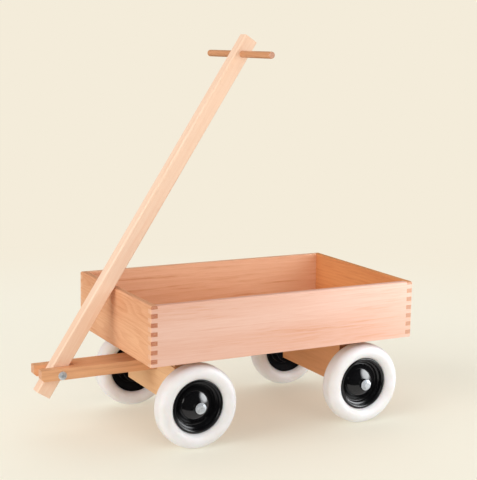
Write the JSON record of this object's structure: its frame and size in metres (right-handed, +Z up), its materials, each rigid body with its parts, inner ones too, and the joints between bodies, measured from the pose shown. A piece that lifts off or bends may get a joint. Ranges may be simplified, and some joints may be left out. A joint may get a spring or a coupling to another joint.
{
  "type": "wooden wagon with pull handle",
  "caption": "Open finger-jointed wooden wagon box on white-tyred wheels, with a steered front axle, a forked drawbar and a long pull handle with a crossbar.",
  "frame": {"origin": "on the ground, at the middle of the plan bounding box, with the handle leaning back against the box", "axes": "+X forward, the way the wagon is pulled; +Y to the wagon's left; +Z up"},
  "size_m": [0.7094, 0.35, 0.7467],
  "materials": {
    "beech_board": "clear satin lacquer on steamed beech",
    "birch_plywood": "clear satin lacquer on plywood",
    "beech_beam": "clear satin lacquer on steamed beech",
    "beech_handle": "clear satin lacquer on beech",
    "beech_dowel": "smooth oiled beech dowel",
    "white_tyre": "smooth off-white rubber",
    "black_hub": "glossy black moulded plastic",
    "nylon": "dull black nylon",
    "zinc_steel": "bright zinc-plated steel"
  },
  "bodies": {
    "root": {"front_board": "beech_board", "rear_board": "beech_board", "left_side_board": "beech_board", "right_side_board": "beech_board", "floor_panel": "birch_plywood", "rear_axle_block": "beech_beam", "rear_block_screws": "zinc_steel", "front_bolster": "beech_beam", "bolster_screws": "zinc_steel", "swivel_washer": "nylon", "kingpin": "zinc_steel", "kingpin_washer": "zinc_steel", "kingpin_nut": "zinc_steel", "rear_left_axle_screw": "zinc_steel", "rear_left_outer_washer": "zinc_steel", "rear_left_inner_washer": "zinc_steel", "rear_left_spacer": "nylon", "rear_right_axle_screw": "zinc_steel", "rear_right_outer_washer": "zinc_steel", "rear_right_inner_washer": "zinc_steel", "rear_right_spacer": "nylon"},
    "front_carriage": {"front_axle_block": "beech_beam", "drawbar": "beech_beam", "drawbar_screws": "zinc_steel", "pivot_bolt": "zinc_steel", "pivot_nut": "zinc_steel", "front_left_axle_screw": "zinc_steel", "front_left_outer_washer": "zinc_steel", "front_left_inner_washer": "zinc_steel", "front_left_spacer": "nylon", "front_right_axle_screw": "zinc_steel", "front_right_outer_washer": "zinc_steel", "front_right_inner_washer": "zinc_steel", "front_right_spacer": "nylon"},
    "handle": {"handle_bar": "beech_handle", "crossbar": "beech_dowel"},
    "front_left_wheel": {"front_left_tyre": "white_tyre", "front_left_hub": "black_hub"},
    "front_right_wheel": {"front_right_tyre": "white_tyre", "front_right_hub": "black_hub"},
    "rear_left_wheel": {"rear_left_tyre": "white_tyre", "rear_left_hub": "black_hub"},
    "rear_right_wheel": {"rear_right_tyre": "white_tyre", "rear_right_hub": "black_hub"}
  },
  "joints": [
    {"name": "steering", "type": "hinge", "parent": "root", "child": "front_carriage", "pos_m": [0.09982, 0, 0.1415], "axis": [0, 0, 1], "range_deg": [-10, 10]},
    {"name": "handle_swing", "type": "hinge", "parent": "front_carriage", "child": "handle", "pos_m": [0.31172, 0, 0.1287], "axis": [0, 1, 0], "range_deg": [0, 85]},
    {"name": "front_left_roll", "type": "hinge", "parent": "front_carriage", "child": "front_left_wheel", "pos_m": [0.09982, 0.1473, 0.0785], "axis": [0, 1, 0], "continuous": true},
    {"name": "front_right_roll", "type": "hinge", "parent": "front_carriage", "child": "front_right_wheel", "pos_m": [0.09982, -0.1473, 0.0785], "axis": [0, 1, 0], "continuous": true},
    {"name": "rear_left_roll", "type": "hinge", "parent": "root", "child": "rear_left_wheel", "pos_m": [-0.25718, 0.1473, 0.0785], "axis": [0, 1, 0], "continuous": true},
    {"name": "rear_right_roll", "type": "hinge", "parent": "root", "child": "rear_right_wheel", "pos_m": [-0.25718, -0.1473, 0.0785], "axis": [0, 1, 0], "continuous": true}
  ]
}
